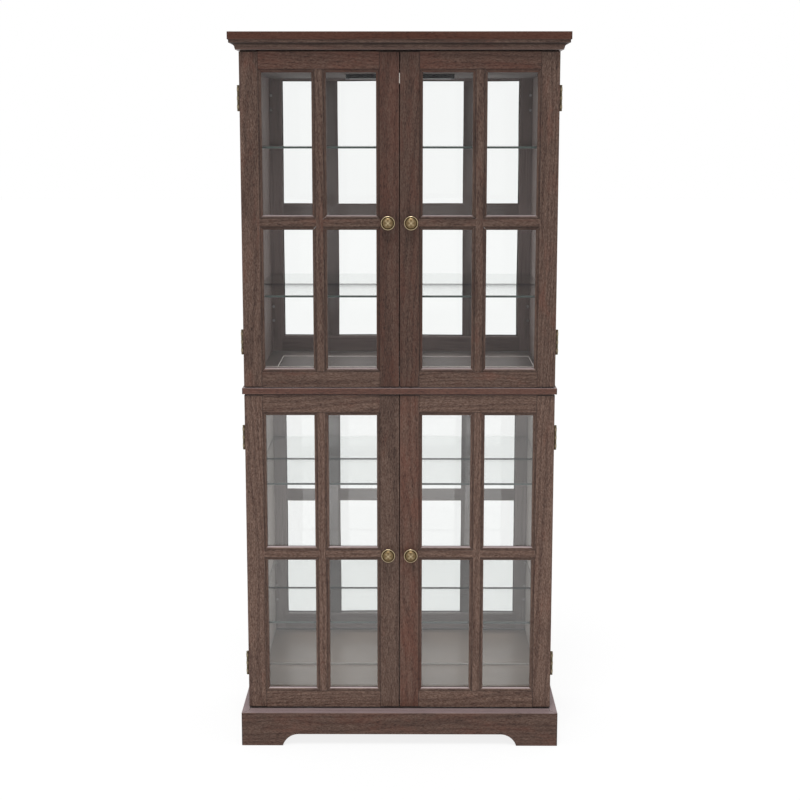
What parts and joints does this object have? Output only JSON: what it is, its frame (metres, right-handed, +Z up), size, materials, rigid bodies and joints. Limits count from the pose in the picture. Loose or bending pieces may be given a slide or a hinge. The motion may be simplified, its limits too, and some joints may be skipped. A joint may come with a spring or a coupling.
{
  "type": "china cabinet",
  "caption": "Tall display cabinet with stacked pairs of divided glass doors, glass shelves, a mirrored back, a cove cornice and a bracket-foot plinth.",
  "frame": {"origin": "on the floor, under the middle of the cabinet's box", "axes": "+Z up, -Y towards the front with the doors, +X to the right as seen from the front"},
  "size_m": [0.8, 0.355, 1.738],
  "materials": {
    "dark_oak": "dark brown stained oak, open pores, satin lacquer",
    "clear_glass": "clear float glass, ground edges with a faint green-grey tint",
    "silvered_mirror": "plain silvered mirror",
    "antique_brass": "antique brass, dark in the recesses and worn bright on the high spots",
    "hardboard": "raw brown hardboard, slightly rough",
    "ivory_plastic": "moulded ivory plastic",
    "brown_plastic": "moulded dark brown plastic",
    "black_plastic": "moulded black plastic with a frosted face underneath"
  },
  "bodies": {
    "cabinet": {"plinth_front": "dark_oak", "plinth_left": "dark_oak", "plinth_right": "dark_oak", "base_board": "dark_oak", "middle_board": "dark_oak", "top_panel": "dark_oak", "cornice_board": "dark_oak", "cornice_moulding_front": "dark_oak", "cornice_moulding_left": "dark_oak", "cornice_moulding_right": "dark_oak", "back_panel": "hardboard", "mirror_lower": "silvered_mirror", "mirror_upper": "silvered_mirror", "catch_upper": "ivory_plastic", "catch_lower": "brown_plastic", "light_bar": "black_plastic", "lower_side_left": "dark_oak", "lower_side_right": "dark_oak", "upper_side_left": "dark_oak", "upper_side_right": "dark_oak", "shelf_lower_1": "clear_glass", "shelf_lower_2": "clear_glass", "shelf_upper_1": "clear_glass", "shelf_upper_2": "clear_glass", "hinge_lower_left_1": "antique_brass", "hinge_lower_left_2": "antique_brass", "hinge_lower_right_1": "antique_brass", "hinge_lower_right_2": "antique_brass", "hinge_upper_left_1": "antique_brass", "hinge_upper_left_2": "antique_brass", "hinge_upper_right_1": "antique_brass", "hinge_upper_right_2": "antique_brass"},
    "door_lower_left": {"door_lower_left_hinge_stile": "dark_oak", "door_lower_left_meeting_stile": "dark_oak", "door_lower_left_bottom_rail": "dark_oak", "door_lower_left_top_rail": "dark_oak", "door_lower_left_grille": "dark_oak", "door_lower_left_glass": "clear_glass", "door_lower_left_knob": "antique_brass"},
    "door_lower_right": {"door_lower_right_hinge_stile": "dark_oak", "door_lower_right_meeting_stile": "dark_oak", "door_lower_right_bottom_rail": "dark_oak", "door_lower_right_top_rail": "dark_oak", "door_lower_right_grille": "dark_oak", "door_lower_right_glass": "clear_glass", "door_lower_right_knob": "antique_brass"},
    "door_upper_left": {"door_upper_left_hinge_stile": "dark_oak", "door_upper_left_meeting_stile": "dark_oak", "door_upper_left_bottom_rail": "dark_oak", "door_upper_left_top_rail": "dark_oak", "door_upper_left_grille": "dark_oak", "door_upper_left_glass": "clear_glass", "door_upper_left_knob": "antique_brass"},
    "door_upper_right": {"door_upper_right_hinge_stile": "dark_oak", "door_upper_right_meeting_stile": "dark_oak", "door_upper_right_bottom_rail": "dark_oak", "door_upper_right_top_rail": "dark_oak", "door_upper_right_grille": "dark_oak", "door_upper_right_glass": "clear_glass", "door_upper_right_knob": "antique_brass"}
  },
  "joints": [
    {"name": "door_lower_left_hinge", "type": "hinge", "parent": "cabinet", "child": "door_lower_left", "pos_m": [-0.3798, -0.1235, 0.4839], "axis": [0, 0, -1], "range_deg": [0, 180]},
    {"name": "door_lower_right_hinge", "type": "hinge", "parent": "cabinet", "child": "door_lower_right", "pos_m": [0.3798, -0.1235, 0.4839], "axis": [0, 0, 1], "range_deg": [0, 180]},
    {"name": "door_upper_left_hinge", "type": "hinge", "parent": "cabinet", "child": "door_upper_left", "pos_m": [-0.3798, -0.1235, 1.2968], "axis": [0, 0, -1], "range_deg": [0, 180]},
    {"name": "door_upper_right_hinge", "type": "hinge", "parent": "cabinet", "child": "door_upper_right", "pos_m": [0.3798, -0.1235, 1.2968], "axis": [0, 0, 1], "range_deg": [0, 180]}
  ]
}
